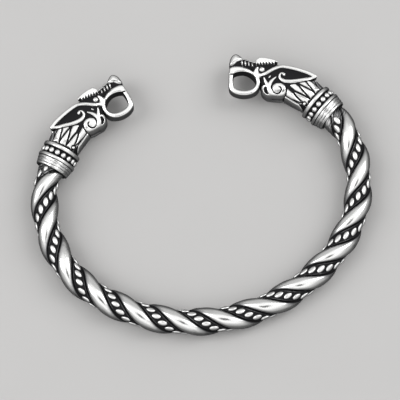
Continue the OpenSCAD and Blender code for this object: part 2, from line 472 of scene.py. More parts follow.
def painted_side_shade(angle: Array) -> Array:
    """Painted shade added towards the ring's inner and outer sides, darkening them as if they mirrored dark
    surroundings.

    Args:
        angle: Angles round the ring's body from its outer side, in radians.

    Returns:
        The recess to add, most at the inner and outer side.
    """
    return SIDE_SHADE * (1 - np.abs(np.sin(angle))) ** 0.8


def dress(
    piece: bpy.types.Object, material: bpy.types.Material, nodes: Sequence[str] = ()
) -> None:
    """Gives a piece its finish and attaches it to the ring.

    Args:
        piece: The piece.
        material: Its material.
        nodes: The solids that it stands for.
    """
    piece.data.materials.clear()
    piece.data.materials.append(material)
    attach(piece, "root")
    if nodes:
        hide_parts(*nodes)
    log.info("%s: %d points, %d faces", piece.name, len(piece.data.vertices), len(piece.data.polygons))


# The twist


@dataclass
class Coil:
    """One strand of the twist, swept along the ring."""

    path: RingPath
    kind: Strand
    number: int
    half_angle: float = 48.9
    groove_bottom: float = 2.15
    core: float = 0.5
    ring_step: float = 0.2
    rough_end: float = 2.6
    rough_fade: float = 1.2
    rough_loss: float = 0.6
    hatch_base: float = 0.08
    hatch_depth: float = 0.45
    hatch_waves: Point3 = (9.0, 14.0, 2.3)
    ripple: float = 0.012
    ripple_waves: Point3 = (0.9, 5.0, 0.37)

    @property
    def start_angle(self) -> float:
        """Angle from the outer edge to the strand at the back of the ring, in degrees."""
        first = 0.0 if self.kind is Strand.SMOOTH else 90.0
        return self.path.twist_start + first + 180.0 * (self.number - 1)

    def turn(self, stations: Array) -> Array:
        """Angles from the ring's outer side to the strand's middle, in radians."""
        return np.radians(self.start_angle - 360.0 * stations / self.path.lead)

    def stations(self) -> Array:
        """Stations of the swept rings, from one socket to the other."""
        reach = self.path.body_half + self.path.socket_reach
        return np.linspace(-reach, reach, 2 * int(reach / self.ring_step) + 1)

    def profile(self) -> ThreeArrays:
        """Place across the strand from -1 to 1, radius and darkness of each point of the section."""
        raise NotImplementedError

    def _oxide_and_shade(self, stations: Array, polar: Array, dark: Array) -> Array:
        """How dark the strand is, with the wear beside the collars and painted shade towards the ring's
        sides.

        Args:
            stations: The swept rings' stations, as a column.
            polar: The section's angles from the strand's middle.
            dark: The section's recess.

        Returns:
            The darkness, a row for each station.
        """
        worn = (np.abs(stations) - self.path.body_half + self.rough_end) / self.rough_fade
        worn = np.clip(worn, 0.0, 1.0)
        along, across, beat = self.hatch_waves
        hatch = np.sin(stations * along + polar * across) * np.sin(stations * beat + 1.0)
        hatch = self.hatch_base + self.hatch_depth * np.clip(hatch, 0.0, 1.0)
        oxide_and_shade = dark * (1 - self.rough_loss * worn) + worn * hatch
        # The strand's own oxide and wear, with painted shade added towards the ring's sides.
        return np.clip(oxide_and_shade + painted_side_shade(polar + self.turn(stations)), 0.0, 1.0)

    def build(self) -> bpy.types.Object:
        """Sweeps the section along the ring.

        Returns:
            The strand.
        """
        place, radius, dark = self.profile()
        stations = self.stations()[:, None]
        polar = np.concatenate([[0.0], place * math.radians(self.half_angle)])
        radius = np.concatenate([[self.core], radius])
        oxide_and_shade = self._oxide_and_shade(stations, polar, np.concatenate([[1.0], dark]))
        along, across, beat = self.ripple_waves
        wave = np.sin(stations * along + polar * across) * np.sin(stations * beat + self.number)
        reach = radius + self.ripple * wave * (radius > self.core)
        points = self.path.at_rest(self.path.around(stations, polar + self.turn(stations), reach))
        name = self.kind.value.replace("strand", "coil") + f"_{self.number}"
        return make_piece(name, points, skin_faces(*oxide_and_shade.shape), oxide_and_shade.reshape(-1))

    def dress(self, piece: bpy.types.Object, material: bpy.types.Material) -> None:
        """Gives the strand its finish and its place on the ring."""
        dress(piece, material, [f"{self.kind.value}_{self.number}"])


@dataclass
class SmoothCoil(Coil):
    """A plain strand with a round, polished crown."""

    crown_points: int = 25
    fullness: float = 2.2
    roundness: float = 0.55
    shade_start: float = 0.5
    foot_start: float = 0.84

    def profile(self) -> ThreeArrays:
        """A round lobe whose flanks grey with painted shade and whose foot darkens into the groove with
        oxide and painted shade.

        Returns:
            Place across the strand, radius and darkness of each point.
        """
        across = np.sin(np.linspace(-math.pi / 2, math.pi / 2, self.crown_points))
        rise = self.path.smooth_crown - self.groove_bottom
        radius = self.groove_bottom + rise * (1 - np.abs(across) ** self.fullness) ** self.roundness
        # Painted shade greys the flanks; the foot darkens into the groove with oxide and painted shade.
        size = np.abs(across)
        shade = 0.25 * np.clip((size - self.shade_start) / (self.foot_start - self.shade_start), 0.0, 1.0)
        foot = np.clip((size - self.foot_start) / (1.0 - self.foot_start), 0.0, 0.75)
        return across, radius, shade + foot


@dataclass
class BeadedCoil(Coil):
    """A dark strand with a low ridge along each edge and a row of beads on its crown."""

    half_angle: float = 38.9
    crown: Point3 = (0.0, 2.36, 1.0)
    section: tuple[Point3, ...] = (
        (1.0, 2.15, 1.0), (0.93, 2.3, 0.9), (0.86, 2.42, 0.7), (0.8, 2.45, 0.58), (0.74, 2.41, 0.75),
        (0.66, 2.33, 1.0), (0.5, 2.33, 1.0), (0.25, 2.35, 1.0),
    )

    def profile(self) -> ThreeArrays:
        """A low ground between two thin ridges.

        Returns:
            Place across the strand, radius and recess of each point.
        """
        half = np.array(self.section)
        rows = np.concatenate([half * [-1, 1, 1], [self.crown], half[::-1]])
        return rows[:, 0], rows[:, 1], rows[:, 2]


@dataclass(frozen=True)
class BeadShape:
    """A bead's sizes in millimetres, how its form departs from a ball, and its mesh."""

    length: float
    width: float
    height: float
    point: float = 0.0
    roundness: float = 1.0
    variation: float = 0.0
    segments: int = 16
    rings: int = 10
    seed: int = 3

    def inputs(self, finish: bpy.types.Material) -> dict[str, object]:
        """Lists the bead tree's inputs.

        Args:
            finish: The beads' material.

        Returns:
            The inputs by name, with half sizes in metres.
        """
        given = {item.name.capitalize(): getattr(self, item.name) for item in fields(self)}
        given |= {name: given[name] / 2 * MM for name in ("Length", "Width", "Height")}
        return {**given, "Finish": finish}


@dataclass
class BeadTree:
    """The node tree that sets a bead on every point of a mesh."""

    name: str = "bead_setting"
    bench: NodeBench = field(init=False)

    def __post_init__(self) -> None:
        """Builds the tree once."""
        self.bench = NodeBench(bpy.data.node_groups.new(self.name, "GeometryNodeTree"))
        self._interface()
        self._nodes()

    def _interface(self) -> None:
        """Adds the named inputs and the output."""
        new_socket = self.bench.tree.interface.new_socket
        names = {
            "Geometry": ("Places",),
            "Float": ("Length", "Width", "Height", "Point", "Roundness", "Variation"),
            "Int": ("Segments", "Rings", "Seed"),
            "Material": ("Finish",),
        }
        for kind, labels in names.items():
            for label in labels:
                new_socket(label, in_out="INPUT", socket_type=f"NodeSocket{kind}")
        new_socket("Beads", in_out="OUTPUT", socket_type="NodeSocketGeometry")

    def _bead(self, given: Wire) -> Wire:
        """The bead, its long way along Z and its crown towards X, with its foot marked dark.

        Args:
            given: The tree's Group Input.

        Returns:
            The bead's mesh.
        """
        node, calculate = self.bench.node, self.bench.math
        counts = {"Segments": given.output("Segments"), "Rings": given.output("Rings"), "Radius": 1.0}
        ball = node("GeometryNodeMeshUVSphere", {}, counts, "Mesh")
        x = node("ShaderNodeSeparateXYZ", {}, {0: node("GeometryNodeInputPosition", {}, {})}, "X")
        y, z = x.output("Y"), x.output("Z")
        crown = calculate("POWER", calculate("ABSOLUTE", x), given.output("Roundness"))
        crown = crown * calculate("SIGN", x)
        slim = 1.0 - z * z * given.output("Point")
        moved = node("ShaderNodeCombineXYZ", {}, {0: crown, 1: y * slim, 2: z})
        shaped = node("GeometryNodeSetPosition", {}, {"Geometry": ball, "Position": moved})
        foot = {"Value": x, "From Min": 0.35, "From Max": 0.0, "To Min": 0.0, "To Max": 0.9}
        mark = {"Geometry": shaped, "Name": OXIDE_AND_SHADE, "Value": node("ShaderNodeMapRange", {}, foot)}
        kind = {"data_type": "FLOAT", "domain": "POINT"}
        return node("GeometryNodeStoreNamedAttribute", kind, mark)

    def _direction(self, name: str) -> Wire:
        """A vector stored on the places."""
        kind = {"data_type": "FLOAT_VECTOR"}
        return self.bench.node("GeometryNodeInputNamedAttribute", kind, {"Name": name}, "Attribute")

    def _nodes(self) -> None:
        """Adds the nodes that place, turn and size the beads."""
        node = self.bench.node
        given = node("NodeGroupInput", {}, {})
        align = "FunctionNodeAlignRotationToVector"
        first = node(align, {"axis": "Z"}, {"Vector": self._direction("along")})
        second = {"Rotation": first, "Vector": self._direction("out")}
        turn = node(align, {"axis": "X", "pivot_axis": "Z"}, second)
        spread = given.output("Variation")
        limits = {2: 1.0 - spread, 3: 1.0 + spread, "Seed": given.output("Seed")}
        chance = node("FunctionNodeRandomValue", {"data_type": "FLOAT"}, limits, 1)
        half_sizes = {0: given.output("Height"), 1: given.output("Width"), 2: given.output("Length")}
        size = node("ShaderNodeCombineXYZ", {}, half_sizes)
        varied = node("ShaderNodeVectorMath", {"operation": "SCALE"}, {0: size, "Scale": chance})
        setting = {"Points": given.output("Places"), "Instance": self._bead(given)}
        setting |= {"Rotation": turn, "Scale": varied}
        beads = node("GeometryNodeInstanceOnPoints", {}, setting)
        beads = node("GeometryNodeRealizeInstances", {}, {"Geometry": beads})
        beads = node("GeometryNodeSetShadeSmooth", {}, {"Geometry": beads})
        beads = node("GeometryNodeSetMaterial", {}, {"Geometry": beads, "Material": given.output("Finish")})
        node("NodeGroupOutput", {}, {0: beads})

    def set_beads(self, name: str, places: ThreeArrays, inputs: dict[str, object]) -> bpy.types.Object:
        """Sets a bead on each place.

        Args:
            name: The piece's name.
            places: The beads' middles, the way that their length runs and the way that their crown points.
            inputs: The tree's inputs by name.

        Returns:
            The beads as one plain mesh object.
        """
        middles, along, out = places
        mesh = bpy.data.meshes.new(name)
        mesh.from_pydata(middles.tolist(), [], [])
        for label, vectors in (("along", along), ("out", out)):
            made = mesh.attributes.new(label, "FLOAT_VECTOR", "POINT")
            made.data.foreach_set("vector", vectors.astype(np.float32).reshape(-1))
        piece = add_object(name, mesh)
        setting = piece.modifiers.new("beads", "NODES")
        setting.node_group = self.bench.tree
        for item in self.bench.tree.interface.items_tree:
            if item.item_type == "SOCKET" and item.in_out == "INPUT" and item.name in inputs:
                setting[item.identifier] = inputs[item.name]
        ready = piece.evaluated_get(bpy.context.evaluated_depsgraph_get())
        plain = bpy.data.meshes.new_from_object(ready)
        piece.modifiers.remove(setting)
        piece.data = plain
        bpy.data.meshes.remove(mesh)
        return piece


@dataclass
class BeadRow:
    """The row of long beads on the crown of a beaded strand."""

    coil: BeadedCoil
    tree: BeadTree
    pitch: float = 1.54
    foot_radius: float = 2.33
    left_overlap: float = 0.4
    bare_end: float = 0.16
    bead: BeadShape = BeadShape(
        length=2.1, width=1.14, height=0.7, point=0.2, roundness=0.65, variation=0.05,
        segments=14, rings=9, seed=7,
    )

    def build(self, material: bpy.types.Material) -> bpy.types.Object:
        """Sets the beads along the strand.

        Args:
            material: Their material.

        Returns:
            The row.
        """
        path = self.coil.path
        first = -int((path.body_half + self.left_overlap) / self.pitch)
        last = int((path.body_half - self.bare_end) / self.pitch)
        stations = np.arange(first, last + 1) * self.pitch
        places = path.bead_places(stations, self.coil.turn(stations), self.foot_radius)
        bead = replace(self.bead, seed=self.bead.seed + self.coil.number)
        return self.tree.set_beads(f"bead_row_{self.coil.number}", places, bead.inputs(material))

    def dress(self, piece: bpy.types.Object, material: bpy.types.Material) -> None:
        """Gives the row its finish and its place on the ring."""
        dress(piece, material)


# The collars


@dataclass
class Collar:
    """A collar: two rims with a row of round beads between them, and a reeded band."""

    path: RingPath
    side: Side
    tree: BeadTree
    segments: int = 216
    face: tuple[Point3, ...] = ((0.0, 0.0, 1.0), (0.0, 2.4, 1.0), (0.0, 3.6, 0.9))
    rim_width: float = 1.0
    rim_drop: float = 0.3
    rim_squareness: float = 3.2
    groove_width: float = 1.6
    groove_radius: float = 3.6
    second_rim: float = 0.85
    reeds: int = 3
    reed_rise: float = 0.09
    reed_slope: float = 0.14
    reed_drop: float = 0.22
    end_drop: float = 0.72
    socket_radius: float = 3.16
    socket_depth: float = 1.6
    streaks: tuple[Point2, ...] = ((5, 2.4), (11, 5.1), (2, 1.3))
    streak_depth: float = 0.04
    streak_stain: float = 0.4
    side_shade_share: float = 0.1
    bead_count: int = 16
    bead: BeadShape = BeadShape(length=1.3392, width=1.24, height=1.24, roundness=0.8, variation=0.03)

    def _rim(self, start: float, width: float) -> list[Point3]:
        """Station, radius and recess over a rounded rim.

        Args:
            start: The edge nearer to the head.
            width: The rim's width.

        Returns:
            The rim's profile.
        """
        rows = []
        for t in np.linspace(0.0, 1.0, 13):
            edge = abs(2 * t - 1)
            radius = self.path.rim_radius - self.rim_drop * (1 - (1 - edge**self.rim_squareness) ** 0.5)
            rows.append((start - width * t, radius, max(0.0, edge - 0.55) * 1.9))
        return rows

    def profile(self) -> Array:
        """Station, radius and recess along the collar's outline.

        Returns:
            The rows, from the axis at the head's side round to the axis at the socket's floor.
        """
        groove, radius = -self.rim_width, self.groove_radius
        second = groove - self.groove_width
        rows = [*self.face, *self._rim(-0.02, self.rim_width - 0.04)]
        rows += [
            (groove, radius + 0.12, 1.0),
            (groove - 0.1, radius, 1.0),
            (groove - self.groove_width / 2, radius - 0.05, 1.0),
            (second + 0.1, radius, 1.0),
            (second, radius + 0.12, 1.0),
        ]
        rows += self._rim(second - 0.02, self.second_rim - 0.04)
        start = second - self.second_rim
        width = (self.path.collar_length + start) / self.reeds
        for i in range(self.reeds):
            for t in np.linspace(0.0, 1.0, 8)[:-1]:
                foot = self.path.rim_radius - self.reed_drop - self.reed_slope * (i + t)
                swell = math.sin(math.pi * t) ** 0.6
                rows.append((start - width * (i + t), foot + self.reed_rise * swell, 0.4 - 0.4 * swell))
        end = -self.path.collar_length
        rows += [
            (end, self.path.rim_radius - self.end_drop, 1.0),
            (end, self.socket_radius, 1.0),
            (end + self.socket_depth, self.socket_radius, 1.0),
            (end + self.socket_depth, 0.0, 1.0),
        ]
        return np.array(rows)

    def _stations(self, along: Array) -> Array:
        """Stations of places on the axis, less than 0 towards the twist."""
        return self.side.sign * (self.path.body_half + self.path.collar_length + along)

    def build(self) -> bpy.types.Object:
        """Turns the profile round the collar's axis.

        Returns:
            The band.
        """
        rows = self.profile()
        inner = rows[1:-1]
        along, radius, dark = (inner[:, [i]] for i in range(3))
        polar = np.arange(self.segments) * 2 * math.pi / self.segments
        number = np.arange(len(inner))[:, None]
        reeded = (along < -self.path.rims_length) & (radius > self.socket_radius + 0.1)
        streaks = sum(np.sin(polar * turns + number * shift) for turns, shift in self.streaks)
        streaks = reeded * np.clip(streaks - 0.9, 0.0, 1.2)
        # The collar's oxide and streaks, with a little painted shade towards the ring's sides.
        oxide_and_shade = dark + self.streak_stain * streaks + self.side_shade_share * painted_side_shade(polar)
        oxide_and_shade = np.clip(oxide_and_shade, 0.0, 1.0)
        points = np.concatenate([
            self.path.around(self._stations(along), polar, radius - self.streak_depth * streaks),
            self.path.around(self._stations(rows[[0, -1], 0]), np.zeros(2), 0.0),
        ])
        faces = skin_faces(*oxide_and_shade.shape, poles=True)
        oxide_and_shade = np.append(oxide_and_shade, [1.0, 1.0])
        return make_piece(f"{self.side.value}_collar_band", self.path.at_rest(points), faces, oxide_and_shade)

    def build_beads(self, material: bpy.types.Material) -> bpy.types.Object:
        """Sets the round beads in the groove.

        Args:
            material: Their material.

        Returns:
            The row of beads.
        """
        start = 0.5 if self.side is Side.RIGHT else 0.0
        polar = (np.arange(self.bead_count) + start) * 2 * math.pi / self.bead_count
        middle = np.full(self.bead_count, -self.rim_width - self.groove_width / 2)
        reach = self.path.rim_radius - self.bead.width / 2 + 0.02
        places = self.path.bead_places(self._stations(middle), polar, reach)
        return self.tree.set_beads(f"{self.side.value}_collar_beads", places, self.bead.inputs(material))

    def dress(
        self,
        band: bpy.types.Object,
        beads: bpy.types.Object,
        band_steel: bpy.types.Material,
        bead_steel: bpy.types.Material,
    ) -> None:
        """Gives the collar its finish and its place on the ring."""
        dress(band, band_steel, [f"{self.side.value}_collar"])
        dress(beads, bead_steel)


# The heads


def smooth_least(a: Array, b: Array, blend: float) -> Array:
    """The lesser of two fields, with a fillet where they meet.

    Args:
        a: The first field.
        b: The second field.
        blend: The fillet's size.

    Returns:
        The joined field.
    """
    h = np.clip(0.5 + 0.5 * (b - a) / blend, 0.0, 1.0)
    return b * (1 - h) + a * h - blend * h * (1 - h)


def smooth_most(a: Array, b: Array, blend: float) -> Array:
    """The greater of two fields, with a rounded edge where they meet."""
    return -smooth_least(-a, -b, blend)


def eased(value: Array, low: float, high: float) -> Array:
    """Rises smoothly from 0 at low to 1 at high."""
    t = np.clip((value - low) / (high - low), 0.0, 1.0)
    return t * t * (3 - 2 * t)


def curve_rows(given: Sequence[Array]) -> list[Array]:
    """Rounds a line through its points.

    Args:
        given: The points, with one more before the line's start and one more after its end.

    Returns:
        Points of the curve, SPAN_PARTS to each span, without its last point.
    """
    rows = []
    for p0, p1, p2, p3 in zip(given, given[1:], given[2:], given[3:]):
        for t in np.linspace(0.0, 1.0, SPAN_PARTS, endpoint=False):
            bend = 2 * p1 + (p2 - p0) * t + (2 * p0 - 5 * p1 + 4 * p2 - p3) * t**2
            rows.append(0.5 * (bend + (3 * p1 - p0 - 3 * p2 + p3) * t**3))
    return rows


def rounded(outline: Sequence[Point2]) -> Array:
    """Rounds a closed outline through its corners."""
    return np.array(curve_rows(np.array([outline[-1], *outline, outline[0], outline[1]])))


@dataclass(frozen=True)
class Spots:
    """Places in the head's side view: x along the head, y up it and z across it. The arrays broadcast."""

    x: Array
    y: Array
    z: Array

    @property
    def size(self) -> Array:
        """Distance from the head's middle plane."""
        return np.abs(self.z)

    def blank(self, value: float) -> Array:
        """One value for every place of the side view."""
        return np.full(np.broadcast(self.x, self.y).shape, value)

    def nearest(self, start: Sequence[float], end: Sequence[float]) -> tuple[Array, Array]:
        """Finds the nearest place on a straight line.

        Args:
            start: x and y of the line's start.
            end: x and y of its end.

        Returns:
            The share of the line before the nearest place, and the square of the distance to it.
        """
        dx, dy = end[0] - start[0], end[1] - start[1]
        x, y = self.x - start[0], self.y - start[1]
        t = np.clip((x * dx + y * dy) / max(dx * dx + dy * dy, 1e-9), 0.0, 1.0)
        return t, (x - dx * t) ** 2 + (y - dy * t) ** 2

    def outside(self, outline: Sequence[Sequence[float]]) -> Array:
        """Distance to a closed outline, less than 0 inside it.

        Args:
            outline: The outline's corners.

        Returns:
            The signed distance.
        """
        best = self.blank(1e9)
        inside = np.zeros(best.shape, dtype=bool)
        corners = list(outline)
        for start, end in zip(corners, corners[1:] + corners[:1]):
            best = np.minimum(best, self.nearest(start, end)[1])
            (ax, ay), (bx, by) = start, end
            if ay != by:
                left = self.x < (bx - ax) * (self.y - ay) / (by - ay) + ax
                inside ^= ((ay > self.y) != (by > self.y)) & left
        return np.sqrt(best) * np.where(inside, -1.0, 1.0)


@dataclass(frozen=True)
class Band:
    """A raised band of the side view: points with their widths, and its height."""

    points: tuple[Point3, ...]
    height: float = 0.42

    def line(self) -> Array:
        """The band's middle line, rounded through its points, as rows of x, y and width."""
        given = np.array(self.points)
        padded = [2 * given[0] - given[1], *given, 2 * given[-1] - given[-2]]
        return np.array([*curve_rows(padded), given[-1]])

    def rise(self, at: Spots) -> Array:
        """The band's height over the ground.

        Args:
            at: The places.

        Returns:
            The height at each place, 0 beside the band.
        """
        line = self.line()
        best = at.blank(-1.0)
        for start, end in zip(line[:-1], line[1:]):
            t, square = at.nearest(start, end)
            half = np.maximum((start[2] + (end[2] - start[2]) * t) / 2, 0.03)
            low = np.minimum(1.0, half / 0.16)
            best = np.maximum(best, (1 - (square / half**2) ** 2) * low**2)
        return self.height * np.sqrt(np.clip(best, 0.0, None))


def mound(inside: Array, height: float, edge: float) -> Array:
    """Height of a raised patch with a rounded edge.

    Args:
        inside: How far each place lies inside the patch.
        height: The patch's height.
        edge: Width of its rounded edge.

    Returns:
        The height at each place.
    """
    t = np.clip(inside / edge, 0.0, 1.0)
    return height * np.sqrt(1 - (1 - t) ** 2)


def join(
    form: Array, dark: Array, part: Array, part_dark: Union[float, Array], blend: float
) -> tuple[Array, Array]:
    """Adds a part to the head.

    Args:
        form: The head's field so far.
        dark: How dark the head is so far.
        part: The part's field.
        part_dark: How dark the part is.
        blend: The fillet's size.

    Returns:
        The joined field and darkness.
    """
    share = eased(form - part, -0.05, 0.05)
    return smooth_least(form, part, blend), dark * (1 - share) + part_dark * share


def lay_net(values: Array, origin: Array, step: float) -> tuple[Array, Array]:
    """Lays a net of quads over the surface where a field is 0.

    Args:
        values: The field on a grid, less than 0 inside.
        origin: The grid's first corner.
        step: The grid's spacing.

    Returns:
        The net's points and its quads.
    """
    inside = values < 0
    corners = [(i, j, k) for i in (0, 1) for j in (0, 1) for k in (0, 1)]

    def corner(grid: Array, c: tuple[int, ...]) -> Array:
        """The values at one corner of every cell."""
        return grid[tuple(slice(n, grid.shape[a] - 1 + n) for a, n in enumerate(c))]

    count = sum(corner(inside, c).astype(np.int8) for c in corners)
    active = (count > 0) & (count < 8)
    cells = np.argwhere(active)
    number = np.full(active.shape, -1, dtype=np.int64)
    number[active] = np.arange(len(cells))
    total = np.zeros((len(cells), 3))
    hits = np.zeros(len(cells))
    for a in corners:
        for axis in range(3):
            if a[axis]:
                continue
            b = tuple(n + (i == axis) for i, n in enumerate(a))
            va, vb = corner(values, a)[active], corner(values, b)[active]
            cut = (va < 0) != (vb < 0)
            t = np.where(cut, va / np.where(cut, va - vb, 1.0), 0.0)
            total += np.where(cut[:, None], np.array(a) + t[:, None] * np.eye(3)[axis], 0.0)
            hits += cut
    quads = []
    for axis in range(3):
        change = inside != np.roll(inside, -1, axis=axis)
        limit = [slice(1, n - 1) for n in inside.shape]
        limit[axis] = slice(0, inside.shape[axis] - 1)
        place = np.argwhere(change[tuple(limit)]) + [s.start for s in limit]
        out = inside[tuple(place.T)]
        u, v = np.eye(3, dtype=int)[(axis + 1) % 3], np.eye(3, dtype=int)[(axis + 2) % 3]
        face = np.stack([number[tuple((place - s).T)] for s in (0 * u, u, u + v, v)], axis=1)
        face[~out] = face[~out][:, ::-1]
        quads.append(face)
    return origin + (cells + total / hits[:, None]) * step, np.concatenate(quads)


@dataclass(frozen=True)
class Carving:
    """A carved head: its points, its quads and how dark each point is."""

    points: Array
    quads: Array
    dark: Array


@dataclass
class HeadForm:
    """A beast's head in side view, its snout along +X and its crown towards +Y, in millimetres."""

    path: RingPath
    grid: float = 0.11
    net_start: Point2 = (-3.4, -3.0)
    net_end: Point3 = (18.0, 14.5, 4.2)
    slope_reach: float = 0.03
    pull_limit: float = 0.06
    face_gap: float = 0.2
    scales: int = 12
    neck_rim: float = 3.5
    leaf_end: float = 4.2
    leaf_length: float = 3.95
    leaf_width: float = 0.81
    broad_leaf: float = 2.0
    broad_leaf_point: float = 1.8
    valley_depth: float = 0.65
    jaw_half: float = 1.75
    ear_faces: Point2 = (1.35, 2.85)
    brow_faces: Point2 = (0.8, 2.62)
    nose_face: float = 2.2
    hook_faces: Point2 = (1.2, 2.74)
    eye_face: float = 2.77
    eye_flatness: float = 2.6
    ground: tuple[Point2, ...] = (
        (-2.9, 1.6), (-2.35, 2.3), (-1.5, 3.6), (-0.6, 4.9), (0.3, 5.9), (1.6, 6.85), (3.1, 7.75),
        (4.6, 8.55), (5.6, 9.4), (6.6, 10.2), (7.7, 10.75), (8.9, 11.0), (9.9, 11.05), (10.6, 11.35),
        (11.3, 11.8), (12.0, 12.25), (12.7, 12.65), (13.5, 13.1), (14.3, 13.2), (15.1, 12.9),
        (15.75, 12.2), (16.15, 11.3), (16.1, 10.4), (14.6, 10.2), (13.2, 10.0), (12.0, 9.2), (11.2, 8.1),
        (10.9, 7.0), (10.9, 5.8), (10.8, 4.7), (10.5, 3.6), (9.8, 2.85), (8.6, 2.3), (7.5, 1.95),
        (6.5, 1.8), (5.7, 1.2), (5.1, 0.6), (3.9, -0.6), (2.9, -1.6), (2.2, -2.4), (-1.0, -1.0),
    )
    widths: tuple[Point2, ...] = (
        (-3.0, 3.25), (1.0, 3.25), (5.0, 3.15), (7.6, 3.0), (9.6, 2.8), (11.0, 2.5), (12.8, 2.35),
        (14.2, 2.25), (15.4, 2.0), (16.4, 1.6),
    )
    squareness: tuple[Point2, ...] = (
        (1.2, 2.0), (4.5, 3.6), (8.0, 4.0), (11.0, 3.4), (13.0, 2.4), (20.0, 2.2),
    )
    bands: tuple[Band, ...] = (
        Band((
            (10.6, 7.75, 0.6), (9.43, 7.58, 0.78), (8.2, 7.88, 0.8), (6.96, 8.24, 0.8), (5.65, 8.46, 0.8),
            (4.7, 8.27, 0.82), (3.23, 7.64, 0.86), (1.65, 6.79, 0.88), (-0.01, 5.77, 0.9),
            (-1.29, 4.72, 0.8),
        )),
        Band((
            (-1.3, 4.5, 0.5), (0.13, 4.39, 0.8), (1.6, 4.38, 0.82), (3.05, 4.4, 0.86), (4.51, 4.6, 0.92),
            (5.56, 4.98, 0.86), (6.2, 5.6, 0.68), (6.28, 6.3, 0.52), (5.88, 6.8, 0.4), (5.34, 6.77, 0.34),
        )),
        Band((
            (9.34, 2.7, 0.6), (9.3, 3.86, 0.95), (9.22, 4.68, 0.95), (9.47, 5.61, 0.76), (9.6, 6.75, 0.34),
        )),
        Band(((9.2, 4.2, 0.6), (8.7, 5.2, 0.86), (8.05, 5.75, 0.68), (7.15, 6.22, 0.32))),
        Band(((8.7, 6.45, 0.14), (8.36, 6.69, 0.36), (8.05, 6.95, 0.14)), 0.25),
        Band((
            (9.35, 4.6, 0.4), (9.95, 4.96, 0.54), (10.38, 4.76, 0.64), (10.6, 4.36, 0.68),
            (10.66, 3.83, 0.68), (10.34, 3.15, 0.66), (9.82, 2.75, 0.64), (9.04, 2.5, 0.6),
        )),
        Band((
            (10.3, 10.85, 0.3), (11.15, 11.35, 0.34), (12.0, 11.9, 0.34), (12.8, 12.35, 0.34),
            (13.5, 12.8, 0.3),
        ), 0.3),
        Band(((13.15, 11.95, 0.28), (13.24, 11.5, 0.42), (13.3, 11.0, 0.28)), 0.36),
        Band(((12.48, 11.75, 0.28), (12.56, 11.3, 0.44), (12.62, 10.7, 0.28)), 0.36),
        Band(((11.8, 11.45, 0.26), (11.88, 11.0, 0.42), (11.93, 10.4, 0.26)), 0.36),
        Band(((11.12, 10.95, 0.2), (11.17, 10.55, 0.34), (11.2, 10.1, 0.2)), 0.3),
    )
    hook: tuple[Point2, ...] = (
        (10.2, 9.6), (10.3, 8.95), (10.28, 8.35), (10.0, 7.95), (9.8, 7.5), (10.3, 7.15), (10.9, 7.25),
        (11.35, 7.9), (11.45, 8.6), (11.1, 9.15), (10.65, 9.5),
    )
    leaf_bead: Point3 = (0.85, -44.5, 0.46)
    spiral: tuple[Point2, ...] = (
        (8.6, 4.3), (7.79, 4.84), (7.05, 4.92), (6.24, 4.55), (5.72, 3.91), (5.67, 3.07), (6.01, 2.15),
        (6.59, 1.63), (7.49, 1.68), (8.57, 2.02), (9.5, 2.5), (9.4, 3.5),
    )
    spiral_cut: Band = Band((
        (7.17, 4.03, 0.1), (6.8, 3.75, 0.3), (6.72, 3.19, 0.36), (7.14, 2.69, 0.3), (7.83, 2.56, 0.24),
        (8.39, 2.95, 0.22), (8.6, 3.61, 0.24), (8.55, 4.3, 0.3),
    ), 0.5)
    ear_plate: tuple[Point2, ...] = (
        (7.2, 8.3), (5.65, 8.66), (4.6, 8.48), (3.1, 7.84), (1.53, 6.99), (-0.12, 5.97), (-1.42, 4.86),
        (-1.5, 4.45), (0.1, 4.2), (1.6, 4.15), (3.05, 4.15), (4.5, 4.4), (6.0, 5.3), (7.5, 6.8),
    )
    brow: tuple[Point2, ...] = (
        (10.36, 10.15), (10.2, 11.3), (9.35, 11.75), (8.2, 11.45), (7.05, 10.95), (6.15, 10.45),
        (5.6, 9.9), (5.8, 9.62), (6.3, 10.02), (6.5, 9.45), (6.95, 10.18), (7.13, 9.52), (7.58, 10.4),
        (7.78, 9.64), (8.2, 10.56), (8.4, 9.76), (8.8, 10.7), (9.06, 9.86), (9.4, 10.78), (9.66, 10.0),
        (9.94, 10.6),
    )
    mouth_hole: tuple[Point2, ...] = (
        (15.75, 9.12), (15.3, 9.6), (14.29, 9.66), (13.14, 9.38), (12.1, 8.58), (11.48, 7.46),
        (11.46, 6.45), (11.9, 5.67), (12.8, 5.23), (14.08, 5.22), (15.32, 5.62), (16.16, 6.33),
        (16.3, 7.26), (16.1, 8.3),
    )
    mouth_loop: tuple[Point2, ...] = (
        (16.02, 11.06), (14.87, 11.14), (13.65, 10.81), (12.33, 10.0), (11.36, 8.87), (10.62, 7.78),
        (10.52, 6.58), (10.96, 5.38), (11.92, 4.45), (13.21, 4.06), (14.7, 4.16), (16.14, 4.72),
        (17.13, 5.58), (17.44, 6.6), (17.13, 8.18), (16.46, 10.2),
    )
    tooth_cut: Band = Band(((15.5, 9.42, 0.3), (16.0, 9.5, 0.26), (16.4, 9.62, 0.14)), 0.5)
    eye: Point3 = (9.5, 8.8, 0.54)
    lobe_ball: Point3 = (5.22, 6.46, 0.4)
    nose: tuple[Point2, ...] = (
        (12.8, 12.3), (13.2, 13.15), (13.75, 13.75), (14.3, 13.95), (15.0, 13.65), (15.6, 12.95),
        (16.08, 11.55), (15.2, 11.45), (14.2, 11.65), (13.4, 11.95),
    )

    def _neck(self, at: Spots) -> tuple[Array, Array]:
        """Place along the neck's axis and across it."""
        angle = math.pi - self.path.neck()[2]
        cos, sin = math.cos(angle), math.sin(angle)
        return at.x * cos + at.y * sin, at.y * cos - at.x * sin

